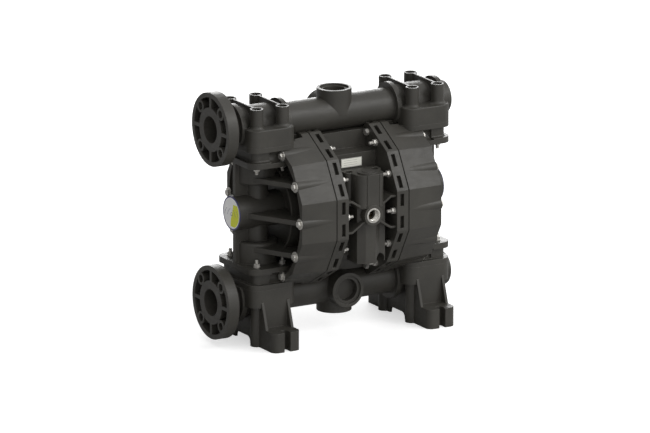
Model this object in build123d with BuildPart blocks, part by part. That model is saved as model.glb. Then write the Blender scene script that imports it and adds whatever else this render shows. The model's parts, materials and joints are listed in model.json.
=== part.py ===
from build123d import *

import os
from math import atan, copysign, cos, degrees, radians, sin, sqrt

# Air operated double diaphragm pump. The two suction and discharge manifolds lie
# along X, the drive shaft slides along X between them, +Z is up and the front,
# with the air inlet, faces -Y. The origin is on the floor under the pump's middle.
# All sizes are in millimetres.

# ---------------------------------------------------------------- whole pump
shaft_height = 292.0        # shaft axis above the floor
manifold_rise = 196.35      # manifold axes above and below the shaft axis
column_reach = 197.4        # valve columns stand this far each side of the shaft's middle
flange_reach = 313.1        # shaft's middle to the connection flange's face
blind_reach = 282.0         # shaft's middle to the manifolds' closed ends
inlet_reach = 175.0         # shaft axis to the air inlet's face, and to the exhaust's
middle_x = (flange_reach - blind_reach) / 2

# ---------------------------------------------------------------- fits and clearances
running_fit = 0.05          # radial, a shaft in its bush
loose_fit = 0.2             # radial, a ring dropped into its bore
touch_gap = 0.3             # a ball above its seat, or below its stop
pipe_gap = 2.0              # between a casing and the manifold pipe beside it

# ---------------------------------------------------------------- fasteners
bolt_r = 4.0                # M8
hole_r = 4.5
head_flats = 13.0
head_tall = 5.3
nut_tall = 6.5
washer_thick = 1.6
wide_washer_r = 12.0
washer_r = 8.0
bolt_past_nut = 10.0

# ---------------------------------------------------------------- manifolds
pipe_r = 38.0
gallery_r = 32.0
riser_r = 27.5              # opening of a gallery over a valve
barrel_r = 43.0
ring_r = 50.4
ring_thick = 11.0
ring_reach = 62.6           # column axis to the outer face of each ring
joint_rise = 161.5          # shaft axis to the joint between casing and manifold
block_long = 115.0
block_deep = 168.0
block_corner_r = 25.0
block_tall = 39.5
block_edge_r = 2.5
boss_r = 14.6
boss_recess_r = 11.0
boss_flare = 7.0            # concave foot of a boss on its block
boss_rise = 49.1            # manifold axis to the top of the bosses
bolt_seat_rise = 25.0       # joint to the seat of the bolt's head
bolt_across = 32.5          # column axis to the bolts, along X
bolt_deep = 59.0            # and along Y
web_thick = 5.0
port_r = 39.25
port_rise = 57.1            # manifold axis to the rim of an upright port
port_front = 63.0           # manifold axis to the rim of a level port
port_lip_r = 32.5
port_lip_deep = 4.4
port_bore_r = 25.0
port_bore_deep = 17.4
blind_edge_r = 6.0

flange_r = 82.5             # DN 50 flange
flange_thick = 26.0
flange_bore_r = 30.0
flange_bore_deep = 52.0
flange_pcd = 125.0
flange_hole_r = 9.0
flange_lug_r = 14.0
flange_holes = 4
pocket_deep = 18.0
pocket_inner_r = 49.0
pocket_outer_r = 72.0
spoke_thick = 8.0

foot_thick = 6.0            # side plates of a foot
foot_plate_in = 29.0        # column axis to a side plate's inner face
foot_pad_half = 35.0
foot_reach = 138.4
foot_tall = 44.0
foot_corner_r = 15.0
foot_slot_wide = 15.4
foot_slot_end = 115.0
foot_wall_thick = 5.0
gusset_top = 188.0          # below the shaft axis
gusset_foot = 104.0         # where the gusset's edge ends above the pad
arch_half = 33.0
arch_tall = 14.5
arch_corner_r = 12.0

# ---------------------------------------------------------------- casings and chambers
side_count = 12
casing_apothem = 171.5
rim_apothem = 167.0
gasket_reach = 91.5         # middle of the clamped diaphragm
rim_reach = 177.0
diaphragm_thick = 2.5
diaphragm_inset = 3.0       # its edge lies this far inside the casing's
cavity_r = 146.0
cavity_floor_r = 88.0
floor_thick = 8.0
dish_mouth_r = 158.0
dish_inner_r = 93.0
dish_bottom_r = 150.0
dish_bottom = 110.0
bolt_circle_r = 158.0
bolt_boss_r = 13.2
short_seat = 111.0          # pocket floor of the short bolts
pocket_r = 13.5
head_room = 29.0            # pocket cut beside the neck for a bolt's head

rib_thick = 11.0
rib_edge = 233.0            # outer edge of the level ribs, at the valve chamber
spine_reach = 253.6
ring_rib_r = 103.0
ring_rib_thick = 5.0
ring_rib_reach = 168.0
hub_r = 39.5
hub_bore_r = 31.0
hub_reach = 259.0
hub_wall = 7.0
hub_edge_r = 2.0
column_r = 26.0
column_bore_r = 20.0
chamber_r = 47.0
chamber_bore_r = 40.0
chamber_rise = 65.5         # shaft axis to the near end of a valve chamber
chamber_wall = 7.5
chamber_edge_r = 6.0
neck_long = 94.0
neck_deep = 147.0
neck_corner_r = 14.5
neck_edge_r = 4.0
flange_plate_rise = 113.5
flange_plate_thick = 13.5
top_plate_thick = 11.5

air_reach = 61.5            # inner face of an air chamber
air_wall = 5.0
air_floor_r = 118.0
slot_wide = 9.5
slot_long = 28.0
slot_gap = 22.0
slot_deep = 12.0
slot_start = 69.5

# ---------------------------------------------------------------- valves
ball_r = 28.0
ball_lift = 14.0
seat_tall = 12.0
seat_bore_r = 18.0
cage_wall = 3.8
cage_rib_thick = 5.0
cage_play = 1.2
o_ring_r = 1.35
o_ring_mid_r = 33.0
joint_ring_mid_r = 46.5

# ---------------------------------------------------------------- shaft and diaphragms
shaft_r = 12.5
thread_r = 10.0
shaft_half = 112.0
shaft_stroke = 15.0         # each way
stroke_room = 4.0           # left beyond the outer plate at the end of a stroke
plate_r = 96.0
plate_thick = 8.0
cap_r = 92.0
cap_rim_thick = 7.0
cap_reach = 117.0
cap_nose_r = 36.0
cavity_floor = cap_reach + shaft_stroke + stroke_room
convolution = 12.0          # rise of the diaphragm's roll
roll_thick = 3.0
bush_r = 17.0
bush_long = 25.0
seal_outer_r = 16.5
seal_wide = 4.8

# ---------------------------------------------------------------- centre body
mid_block_deep = 30.0
mid_block_rise = manifold_rise - pipe_r - touch_gap
air_block_deep = 76.5
air_block_rise = 119.0
base_half = 56.0
base_front = 104.0
base_top = 84.0
base_bottom = 100.0
spigot_r = 29.8
shaft_bore_r = 14.0
exhaust_drop = 45.0
exhaust_boss_r = 27.0
exhaust_box_half = 42.0
exhaust_box_rear = 142.0
exhaust_bore_r = 15.15      # G 1
exhaust_bore_deep = 24.0
passage_r = 9.0
chamber_port_r = 6.0
chamber_port_rise = 60.0

# ---------------------------------------------------------------- air valve
gasket_thick = 2.0
housing_plate_thick = 6.0
housing_top = 91.6
housing_split = 17.0
housing_bottom = 112.0
upper_half = 35.0
upper_front = 172.0
upper_corner_r = 22.0
flute_deep = 1.5
flute_wide = 3.0
flute_place = 15.5
lower_flat = 12.3           # half width of the lower front facet
lower_front = 161.6
lower_half = 28.6
lower_corner = 150.6
lug_r = 13.5
lug_across = 32.5
lug_deep = 121.5
lug_recess_r = 8.5
lug_recess_deep = 20.0
notch_r = 12.0
notch_across = 29.0
notch_rise = 106.0
inlet_boss_r = 22.75
insert_r = 17.0
insert_bore_r = 12.06       # G 3/4
insert_long = 17.0
spool_deep = 138.0          # spool axis in front of the shaft axis
sleeve_r = 19.0
sleeve_bore_r = 13.0
sleeve_half = 74.0
spool_shift = 10.0          # between the spool's two stops
spool_half = sleeve_half - touch_gap - spool_shift / 2
spool_r = 12.95
spool_neck_r = 8.0
spool_land = 14.0
sleeve_port_r = 5.0
cap_disc_r = 26.0
cap_disc_thick = 3.0
cap_button_r = 13.0
cap_button_thick = 1.2
cap_deep = 148.0
strut_thick = 4.5
strut_front = 166.0
strut_root = (16.0, 13.0)
strut_knee = (49.0, 35.0)
housing_screw_across = 51.2
housing_screw_rise = 62.0
screw_r = 2.5               # M5
screw_hole_r = 2.75
screw_head_r = 4.25
screw_head_tall = 5.0
screw_long = 22.0

body_screw_across = 60.0
body_screw_rise = 93.0
body_screw_head_r = 6.5
body_screw_head_tall = 4.0
body_screw_long = 26.0

badge_r = 38.0
badge_thick = 1.2
plate_long = 52.0
plate_tall = 20.0
plate_mid_rise = 99.0
plate_metal = 0.8

# ---------------------------------------------------------------- working planes
shaft_mid = (middle_x, 0, shaft_height)
level = Plane(origin=shaft_mid, x_dir=(1, 0, 0), z_dir=(0, 0, 1))
outward = Plane(origin=shaft_mid, x_dir=(0, -1, 0), z_dir=(-1, 0, 0))
along = Plane(origin=shaft_mid, x_dir=(0, 1, 0), z_dir=(1, 0, 0))
forward = Plane(origin=shaft_mid, x_dir=(1, 0, 0), z_dir=(0, -1, 0))
left_section = Plane(origin=shaft_mid, x_dir=(-1, 0, 0), z_dir=(0, 1, 0))
left_deck = Plane(origin=shaft_mid, x_dir=(-1, 0, 0), z_dir=(0, 0, 1))
floor_plane = Plane(origin=(middle_x, 0, 0), x_dir=(1, 0, 0), z_dir=(0, 0, 1))
mirror_plane = Plane(origin=shaft_mid, x_dir=(0, 1, 0), z_dir=(1, 0, 0))
shaft_axis = Axis(shaft_mid, (-1, 0, 0))

os.makedirs("parts", exist_ok=True)


def save(part, name):
    """Labels a finished sub-part and writes it as one STEP file."""
    part.label = name
    export_step(part, f"parts/{name}.step")


def save_pair(part, name):
    """Writes a sub-part of the left half and its mirror image on the right."""
    save(part, f"left_{name}")
    save(mirror(part, about=mirror_plane), f"right_{name}")


def ring_points(radius, angles):
    """Points on a circle about a sketch's origin."""
    return [(radius * cos(radians(a)), radius * sin(radians(a))) for a in angles]


def level_at(rise):
    """The level plane at a height above the shaft axis."""
    return level.offset(rise)


long_bolts = ring_points(bolt_circle_r, [a + s for s in (0, 180) for a in (-60, -30, 0, 30, 60)])
short_bolts = ring_points(bolt_circle_r, [75, 105, 255, 285])
columns = (-column_reach, column_reach)
signs = (-1, 1)
casing_face = gasket_reach + diaphragm_thick / 2
chamber_face = gasket_reach - diaphragm_thick / 2
ledge_rise = chamber_rise + chamber_wall
bolt_corners = [(sx * bolt_across, sy * bolt_deep) for sx in signs for sy in signs]
manifold_bolt_places = [(c + x, y) for c in columns for x, y in bolt_corners]
manifold_end = column_reach + ring_reach


# ================================================================ manifolds
def manifold_block(up):
    """The block of a manifold that is bolted down on a casing, at the shaft's middle."""
    with BuildPart() as block:
        with BuildSketch(level_at(up * joint_rise)):
            RectangleRounded(block_long, block_deep, block_corner_r)
        extrude(amount=up * block_tall)
        if up > 0:
            fillet(block.faces().sort_by(Axis.Z)[-1].edges(), block_edge_r)
    return block.part


def manifold_run(up):
    """The plane across a manifold at the shaft's middle; its normal lies along the pipe."""
    run = along.offset(0)
    run.origin = (middle_x, 0, shaft_height + up * manifold_rise)
    return run


def connection_flange(up):
    """The connection flange and its neck, up to the first ring of the manifold."""
    face = manifold_run(up).offset(-flange_reach)
    with BuildPart() as piece:
        with BuildSketch(face):
            Circle(flange_r)
        extrude(amount=flange_thick)
        with BuildSketch(face.offset(flange_thick)):
            Circle(pipe_r)
        extrude(amount=flange_reach - flange_thick - manifold_end)
        # lightening pockets and bolt holes
        with BuildSketch(face):
            Circle(pocket_outer_r)
            Circle(pocket_inner_r, mode=Mode.SUBTRACT)
            Rectangle(2 * flange_r, spoke_thick, mode=Mode.SUBTRACT)
            Rectangle(spoke_thick, 2 * flange_r, mode=Mode.SUBTRACT)
            with PolarLocations(flange_pcd / 2, flange_holes, start_angle=45):
                Circle(flange_lug_r, mode=Mode.SUBTRACT)
        extrude(amount=pocket_deep, mode=Mode.SUBTRACT)
        with BuildSketch(face):
            with PolarLocations(flange_pcd / 2, flange_holes, start_angle=45):
                Circle(flange_hole_r)
        extrude(amount=flange_thick, mode=Mode.SUBTRACT)
        # the bore, and the start of the wider gallery behind it
        with BuildSketch(face):
            Circle(flange_bore_r)
        extrude(amount=flange_bore_deep, mode=Mode.SUBTRACT)
        with BuildSketch(face.offset(flange_bore_deep)):
            Circle(gallery_r)
        extrude(amount=flange_reach - flange_bore_deep - manifold_end, mode=Mode.SUBTRACT)
    return piece.part


def manifold_core(up, port_side):
    """A manifold without bosses or feet; up is 1 for the discharge, -1 for the suction."""
    axis_rise = up * manifold_rise
    run = manifold_run(up)
    port_plane = Plane(origin=run.origin, x_dir=(1, 0, 0), z_dir=(0, port_side, 0))
    block = manifold_block(up)
    with BuildPart() as core:
        with BuildSketch(run.offset(-manifold_end)):
            Circle(pipe_r)
        extrude(amount=manifold_end + blind_reach)
        fillet(core.edges().sort_by(Axis.X)[-1], blind_edge_r)
        for column in columns:
            with BuildSketch(run.offset(column - ring_reach)):
                Circle(barrel_r)
            extrude(amount=2 * ring_reach)
            for start in (column - ring_reach, column + ring_reach - ring_thick):
                with BuildSketch(run.offset(start)):
                    Circle(ring_r)
                extrude(amount=ring_thick)
        # an upright port over the middle, and a level port to the front or the rear
        with BuildSketch(level_at(axis_rise)):
            Circle(port_r)
        extrude(amount=up * port_rise)
        with BuildSketch(port_plane):
            Circle(port_r)
        extrude(amount=port_front)
        # no ring or barrel reaches past the joint with the casing
        with BuildSketch(level_at(up * joint_rise)):
            with Locations(*[(c, 0) for c in columns]):
                Rectangle(2 * ring_reach + 2 * touch_gap, block_deep)
        extrude(amount=-up * block_tall, mode=Mode.SUBTRACT)
        with Locations(*[(c, 0, 0) for c in columns]):
            add(block)
        # the blind ports, open for a plug or a pipe once they are drilled through
        for mouth in (level_at(axis_rise + up * port_rise), port_plane.offset(port_front)):
            inward = -up if mouth.z_dir.Z > 0.5 else -1
            with BuildSketch(mouth):
                Circle(port_lip_r)
            extrude(amount=inward * port_lip_deep, mode=Mode.SUBTRACT)
            with BuildSketch(mouth.offset(inward * port_lip_deep)):
                Circle(port_bore_r)
            extrude(amount=inward * port_bore_deep, mode=Mode.SUBTRACT)
    return core.part


def manifold_waterway(up):
    """The space inside a manifold: the gallery, and the two valve openings."""
    with BuildPart() as waterway:
        with BuildSketch(manifold_run(up).offset(-manifold_end)):
            Circle(gallery_r)
        extrude(amount=manifold_end + blind_reach - 2 * blind_edge_r)
        with BuildSketch(level_at(up * joint_rise)):
            with Locations(*[(c, 0) for c in columns]):
                Circle(riser_r)
        extrude(amount=up * (manifold_rise - joint_rise))
    return waterway.part


def bolt_ways(up, boss_end):
    """The bolt holes of a manifold and the recesses for their heads, as a cutter."""
    with BuildPart() as ways:
        with BuildSketch(level_at(up * joint_rise)):
            with Locations(*manifold_bolt_places):
                Circle(hole_r)
        extrude(amount=up * bolt_seat_rise)
        with BuildSketch(level_at(up * (joint_rise + bolt_seat_rise))):
            with Locations(*manifold_bolt_places):
                Circle(boss_recess_r)
        extrude(amount=up * (boss_end - joint_rise - bolt_seat_rise))
    return ways.part


# the concave foot of one boss, about its own axis
with BuildPart() as boss_foot:
    with BuildSketch(Plane.XZ):
        with BuildLine():
            Polyline(
                (boss_r, boss_flare),
                (0, boss_flare),
                (0, -block_edge_r),
                (boss_r + boss_flare, -block_edge_r),
                (boss_r + boss_flare, 0),
            )
            RadiusArc((boss_r + boss_flare, 0), (boss_r, boss_flare), boss_flare)
        make_face()
    revolve(axis=Axis.Z)

boss_end = manifold_rise + boss_rise
slot_end_r = foot_slot_wide / 2
with BuildPart() as discharge_manifold:
    add(manifold_core(1, 1))
    with Locations(*[(middle_x + x, y, shaft_height + joint_rise + block_tall) for x, y in manifold_bolt_places]):
        add(boss_foot.part)
    with BuildSketch(level_at(joint_rise + block_edge_r)):
        with Locations(*manifold_bolt_places):
            Circle(boss_r)
        with Locations(*[(c + sx * bolt_across, 0) for c in columns for sx in signs]):
            Rectangle(web_thick, 2 * bolt_deep)
    extrude(amount=boss_end - joint_rise - block_edge_r)
    add(manifold_waterway(1), mode=Mode.SUBTRACT)
    add(bolt_ways(1, boss_end), mode=Mode.SUBTRACT)
save(discharge_manifold.part, "discharge_manifold")

with BuildPart() as suction_manifold:
    add(manifold_core(-1, -1))
    add(manifold_waterway(-1), mode=Mode.SUBTRACT)
    add(bolt_ways(-1, shaft_height), mode=Mode.SUBTRACT)
save(suction_manifold.part, "suction_manifold")

save(connection_flange(1), "discharge_flange")
save(connection_flange(-1), "suction_flange")

floor_drop = shaft_height
with BuildPart() as left_foot:
    # bosses from the block to the floor
    with BuildSketch(floor_plane):
        with Locations(*[(-column_reach + x, y) for x, y in bolt_corners]):
            Circle(boss_r)
    extrude(amount=shaft_height - joint_rise - block_tall)
    # side plates, from the front pad to the rear pad, with an arch over the floor
    for side in signs:
        near_face = -column_reach + side * foot_plate_in - (foot_thick if side < 0 else 0)
        with BuildSketch(along.offset(near_face)):
            with BuildLine():
                Polyline(
                    (-block_deep / 2, -gusset_top),
                    (-gusset_foot, foot_tall - floor_drop),
                    (-foot_reach + foot_corner_r, foot_tall - floor_drop),
                    (-foot_reach + foot_corner_r, -floor_drop),
                    (foot_reach - foot_corner_r, -floor_drop),
                    (foot_reach - foot_corner_r, foot_tall - floor_drop),
                    (gusset_foot, foot_tall - floor_drop),
                    (block_deep / 2, -gusset_top),
                    close=True,
                )
            make_face()
            with Locations((0, -floor_drop)):
                RectangleRounded(2 * arch_half, 2 * arch_tall, arch_corner_r, mode=Mode.SUBTRACT)
        extrude(amount=foot_thick)
    # front and rear walls between the plates, and the pads under them
    with BuildSketch(floor_plane.offset(foot_tall)):
        with Locations(*[(-column_reach, s * (block_deep - foot_wall_thick) / 2) for s in signs]):
            Rectangle(2 * foot_plate_in, foot_wall_thick)
    extrude(amount=shaft_height - foot_tall - joint_rise - block_tall)
    pad_start = block_deep / 2 - foot_wall_thick
    for side in signs:
        with BuildSketch(floor_plane) as pads:
            with Locations((-column_reach, side * (foot_reach + pad_start) / 2)):
                Rectangle(2 * foot_pad_half, foot_reach - pad_start)
            fillet(pads.vertices().group_by(Axis.Y)[0 if side < 0 else -1], foot_corner_r)
        extrude(amount=foot_tall)
        slot_length = foot_reach - foot_slot_end
        with BuildSketch(floor_plane):
            with Locations((-column_reach, side * (foot_reach + slot_end_r))):
                SlotOverall(2 * (slot_length + slot_end_r), foot_slot_wide, rotation=90)
        extrude(amount=foot_tall, mode=Mode.SUBTRACT)
    # the foot is moulded round the block and the barrel over it
    with Locations((-column_reach, 0, 0)):
        add(manifold_block(-1), mode=Mode.SUBTRACT)
    with BuildSketch(manifold_run(-1).offset(-column_reach - ring_reach)):
        Circle(barrel_r)
    extrude(amount=2 * ring_reach, mode=Mode.SUBTRACT)
    add(bolt_ways(-1, shaft_height), mode=Mode.SUBTRACT)
save_pair(left_foot.part, "foot")


# ================================================================ fluid casing
taper_run = rim_reach - gasket_reach
casing_draft = degrees(atan((casing_apothem - rim_apothem) / taper_run))
half_side = 180 / side_count
valve_axis_places = [(-column_reach, 0)]
left_corners = [(-column_reach + x, y) for x, y in bolt_corners]

with BuildPart() as valve_ends:
    for up in signs:
        with BuildSketch(level_at(up * (joint_rise - top_plate_thick))):
            with Locations(*valve_axis_places):
                RectangleRounded(block_long, block_deep, block_corner_r)
        extrude(amount=up * top_plate_thick)
        with BuildSketch(level_at(up * flange_plate_rise)):
            with Locations(*valve_axis_places):
                RectangleRounded(block_long, block_deep, block_corner_r)
        extrude(amount=up * flange_plate_thick)
        with BuildSketch(level_at(up * (flange_plate_rise + flange_plate_thick))):
            with Locations(*valve_axis_places):
                RectangleRounded(neck_long, neck_deep, neck_corner_r)
        extrude(amount=up * (joint_rise - top_plate_thick - flange_plate_rise - flange_plate_thick))
        neck_foot = shaft_height + up * (flange_plate_rise + flange_plate_thick)
        seam = valve_ends.edges().filter_by_position(Axis.Z, neck_foot - 0.1, neck_foot + 0.1)
        fillet(seam.filter_by(lambda e: abs(e.center().Y) < neck_deep / 2 + 1
                              and abs(e.center().X - middle_x + column_reach) < neck_long / 2 + 1), neck_edge_r)
        with BuildSketch(level_at(up * chamber_rise)):
            with Locations(*valve_axis_places):
                Circle(chamber_r)
        extrude(amount=up * (flange_plate_rise - chamber_rise))
        near_end = valve_ends.edges().filter_by(GeomType.CIRCLE).sort_by(
            lambda e: abs(e.center().Z - shaft_height - up * chamber_rise))[0]
        fillet(near_end, chamber_edge_r)

with BuildPart() as left_casing:
    with BuildSketch(outward.offset(casing_face)):
        RegularPolygon(casing_apothem, side_count, major_radius=False, rotation=half_side)
    extrude(amount=rim_reach - casing_face, taper=casing_draft)
    # the dish of the outer face
    with BuildSketch(left_section):
        with BuildLine():
            Polyline(
                (rim_reach + 1, 0),
                (rim_reach + 1, dish_mouth_r),
                (dish_bottom, dish_bottom_r),
                (cavity_floor + floor_thick, dish_inner_r),
                (cavity_floor + floor_thick, 0),
                close=True,
            )
        make_face()
    revolve(axis=shaft_axis, mode=Mode.SUBTRACT)
    # bolt bosses round the rim
    with BuildSketch(outward.offset(casing_face)):
        with Locations(*long_bolts):
            Circle(bolt_boss_r)
    extrude(amount=rim_reach - casing_face)
    # level ribs from the hub and the valve chambers to the bolt bosses
    with BuildSketch(left_deck.offset(-rib_thick / 2)):
        with BuildLine():
            Polyline(
                (casing_face, -bolt_circle_r),
                (rim_reach, -bolt_circle_r + bolt_boss_r / 2),
                (hub_reach - 2 * hub_wall, -hub_r + hub_wall),
                (hub_reach - 2 * hub_wall, hub_r - hub_wall),
                (rim_reach, bolt_circle_r - bolt_boss_r / 2),
                (casing_face, bolt_circle_r),
                close=True,
            )
        make_face()
    extrude(amount=rib_thick)
    rib_rise = bolt_circle_r * sin(radians(30))
    rib_end = bolt_circle_r * cos(radians(30))
    for up in signs:
        with BuildSketch(left_deck.offset(up * rib_rise - rib_thick / 2)):
            with BuildLine():
                Polyline(
                    (casing_face, -rib_end),
                    (rim_reach, -rib_end + bolt_boss_r / 2),
                    (rib_edge, -chamber_r / 2),
                    (rib_edge, chamber_r / 2),
                    (rim_reach, rib_end - bolt_boss_r / 2),
                    (casing_face, rib_end),
                    close=True,
                )
            make_face()
        extrude(amount=rib_thick)
    # the upright spine outside the column, and the ring rib
    with BuildSketch(left_section.offset(-rib_thick / 2)):
        with Locations(((column_reach + spine_reach) / 2, 0)):
            Rectangle(spine_reach - column_reach, 2 * flange_plate_rise)
    extrude(amount=rib_thick)
    with BuildSketch(outward.offset(cavity_floor)):
        Circle(ring_rib_r + ring_rib_thick / 2)
        Circle(ring_rib_r - ring_rib_thick / 2, mode=Mode.SUBTRACT)
    extrude(amount=ring_rib_reach - cavity_floor)
    with BuildSketch(level_at(-chamber_rise - chamber_wall)):
        with Locations(*valve_axis_places):
            Circle(column_r)
    extrude(amount=2 * (chamber_rise + chamber_wall))
    with BuildSketch(outward.offset(cavity_floor)):
        Circle(hub_r)
    extrude(amount=hub_reach - cavity_floor)
    fillet(left_casing.edges().filter_by(GeomType.CIRCLE).sort_by(Axis.X)[0], hub_edge_r)
    add(valve_ends.part)
    # room for the manifold's block, pipe and rings beside the rim
    for up in signs:
        ring_face = column_reach - ring_reach
        with BuildSketch(level_at(up * joint_rise)):
            with Locations((-(ring_face - pipe_gap + column_reach) / 2, 0)):
                Rectangle(column_reach - ring_face + pipe_gap, block_deep + 2 * pipe_gap)
        extrude(amount=up * block_tall, mode=Mode.SUBTRACT)
        with BuildSketch(outward.offset(casing_face)):
            with Locations((0, up * manifold_rise)):
                Circle(pipe_r + pipe_gap)
        extrude(amount=ring_face + touch_gap - casing_face, mode=Mode.SUBTRACT)
    # the diaphragm's side of the casing
    with BuildSketch(left_section):
        with BuildLine():
            Polyline(
                (casing_face, 0),
                (casing_face, cavity_r),
                (casing_face + floor_thick, cavity_r - roll_thick),
                (cavity_floor, cavity_floor_r),
                (cavity_floor, 0),
                close=True,
            )
        make_face()
    revolve(axis=shaft_axis, mode=Mode.SUBTRACT)
    # waterways: hub, column and valve chambers
    with BuildSketch(outward.offset(cavity_floor)):
        Circle(hub_bore_r)
    extrude(amount=hub_reach - hub_wall - cavity_floor, mode=Mode.SUBTRACT)
    with BuildSketch(level_at(-ledge_rise)):
        with Locations(*valve_axis_places):
            Circle(column_bore_r)
    extrude(amount=2 * ledge_rise, mode=Mode.SUBTRACT)
    for up in signs:
        with BuildSketch(level_at(up * ledge_rise)):
            with Locations(*valve_axis_places):
                Circle(chamber_bore_r)
        extrude(amount=up * (joint_rise - ledge_rise), mode=Mode.SUBTRACT)
        with BuildSketch(level_at(up * joint_rise)):
            with Locations(*valve_axis_places):
                Circle(joint_ring_mid_r + 2 * o_ring_r)
                Circle(joint_ring_mid_r - 2 * o_ring_r, mode=Mode.SUBTRACT)
        extrude(amount=-up * 2 * o_ring_r, mode=Mode.SUBTRACT)
        with BuildSketch(level_at(up * flange_plate_rise)):
            with Locations(*left_corners):
                Circle(hole_r)
        extrude(amount=up * (joint_rise - flange_plate_rise), mode=Mode.SUBTRACT)
    # bolt holes, and the pockets that let heads and nuts turn beside ribs and necks
    with BuildSketch(outward.offset(casing_face)):
        with Locations(*long_bolts, *short_bolts):
            Circle(hole_r)
    extrude(amount=rim_reach - casing_face, mode=Mode.SUBTRACT)
    with BuildSketch(outward.offset(rim_reach)):
        with Locations(*long_bolts):
            Circle(pocket_r)
    extrude(amount=head_room, mode=Mode.SUBTRACT)
    with BuildSketch(outward.offset(short_seat)):
        with Locations(*short_bolts):
            Circle(pocket_r)
        with Locations(*[(y, z + copysign(casing_apothem - bolt_circle_r, z)) for y, z in short_bolts]):
            Rectangle(2 * pocket_r, 2 * (casing_apothem - bolt_circle_r))
    extrude(amount=column_reach - block_long / 2 - short_seat, mode=Mode.SUBTRACT)
save_pair(left_casing.part, "fluid_casing")


# ================================================================ air chamber
with BuildPart() as left_chamber:
    with BuildSketch(outward.offset(air_reach)):
        RegularPolygon(casing_apothem, side_count, major_radius=False, rotation=half_side)
    extrude(amount=chamber_face - air_reach)
    with BuildSketch(left_section):
        with BuildLine():
            Polyline(
                (chamber_face, 0),
                (chamber_face, cavity_r),
                (chamber_face - air_wall, cavity_r),
                (air_reach + air_wall, air_floor_r),
                (air_reach + air_wall, 0),
                close=True,
            )
        make_face()
    revolve(axis=shaft_axis, mode=Mode.SUBTRACT)
    with BuildSketch(outward.offset(slot_start)):
        with PolarLocations(casing_apothem - slot_deep / 2, side_count):
            with Locations((0, (slot_gap + slot_long) / 2), (0, -(slot_gap + slot_long) / 2)):
                Rectangle(slot_deep, slot_long)
    extrude(amount=slot_wide, mode=Mode.SUBTRACT)
    with BuildSketch(outward.offset(air_reach)):
        with Locations(*long_bolts, *short_bolts):
            Circle(hole_r)
        with Locations((0, 0)):
            Circle(spigot_r + loose_fit)
        with Locations(*[(x, z) for x in (-body_screw_across, body_screw_across)
                         for z in (-body_screw_rise, body_screw_rise)]):
            Circle(hole_r)
        with Locations((0, chamber_port_rise)):
            Circle(chamber_port_r)
    extrude(amount=chamber_face - air_reach, mode=Mode.SUBTRACT)
    for up in signs:
        with BuildSketch(outward.offset(air_reach)):
            with Locations((0, up * manifold_rise)):
                Circle(pipe_r + pipe_gap)
        extrude(amount=chamber_face - air_reach, mode=Mode.SUBTRACT)
save_pair(left_chamber.part, "air_chamber")


# ================================================================ diaphragms and shaft
with BuildPart() as left_diaphragm:
    with BuildSketch(outward.offset(chamber_face)):
        RegularPolygon(casing_apothem - diaphragm_inset, side_count, major_radius=False, rotation=half_side)
        Circle(cavity_r, mode=Mode.SUBTRACT)
        with Locations(*long_bolts, *short_bolts):
            Circle(hole_r, mode=Mode.SUBTRACT)
    extrude(amount=diaphragm_thick)
    for up in signs:
        with BuildSketch(outward.offset(chamber_face)):
            with Locations((0, up * manifold_rise)):
                Circle(pipe_r + pipe_gap)
        extrude(amount=diaphragm_thick, mode=Mode.SUBTRACT)
    with BuildSketch(left_section):
        with BuildLine():
            roll_mid = (cavity_r + plate_r) / 2
            Line((casing_face, cavity_r), (chamber_face, cavity_r))
            ThreePointArc((chamber_face, cavity_r), (chamber_face + convolution, roll_mid),
                          (chamber_face, plate_r))
            Line((chamber_face, plate_r), (chamber_face, thread_r + loose_fit))
            Line((chamber_face, thread_r + loose_fit), (casing_face, thread_r + loose_fit))
            Line((casing_face, thread_r + loose_fit), (casing_face, plate_r))
            ThreePointArc((casing_face, plate_r), (casing_face + convolution, roll_mid),
                          (casing_face, cavity_r))
        make_face()
    revolve(axis=shaft_axis)
save_pair(left_diaphragm.part, "diaphragm")

with BuildPart() as left_inner_plate:
    with BuildSketch(outward.offset(chamber_face - plate_thick)):
        Circle(plate_r)
    extrude(amount=plate_thick)
    fillet(left_inner_plate.edges().filter_by(GeomType.CIRCLE).sort_by(Axis.X)[0], roll_thick)
    with BuildSketch(outward.offset(chamber_face - plate_thick)):
        Circle(thread_r + loose_fit)
    extrude(amount=plate_thick, mode=Mode.SUBTRACT)
save_pair(left_inner_plate.part, "inner_diaphragm_plate")

with BuildPart() as left_outer_plate:
    with BuildSketch(left_section):
        with BuildLine():
            Polyline(
                (casing_face, thread_r + loose_fit),
                (casing_face, cap_r),
                (casing_face + cap_rim_thick, cap_r),
                (cap_reach - cap_rim_thick, cap_nose_r),
                (cap_reach, cap_nose_r - cap_rim_thick),
                (cap_reach, 0),
                (shaft_half + touch_gap, 0),
                (shaft_half + touch_gap, thread_r + loose_fit),
                close=True,
            )
        make_face()
    revolve(axis=shaft_axis)
save_pair(left_outer_plate.part, "outer_diaphragm_plate")

shoulder = chamber_face - plate_thick
with BuildPart() as shaft:
    with BuildSketch(along.offset(-shoulder)):
        Circle(shaft_r)
    extrude(amount=2 * shoulder)
    with BuildSketch(along.offset(-shaft_half)):
        Circle(thread_r)
    extrude(amount=2 * shaft_half)
    chamfer(shaft.edges().filter_by(GeomType.CIRCLE).group_by(Axis.X)[0], touch_gap * 4)
    chamfer(shaft.edges().filter_by(GeomType.CIRCLE).group_by(Axis.X)[-1], touch_gap * 4)
save(shaft.part, "diaphragm_shaft")

bush_face = air_reach + air_wall
with BuildPart() as left_bush:
    with BuildSketch(outward.offset(bush_face - bush_long)):
        Circle(bush_r)
        Circle(shaft_r + running_fit, mode=Mode.SUBTRACT)
    extrude(amount=bush_long)
save_pair(left_bush.part, "shaft_bush")

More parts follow.
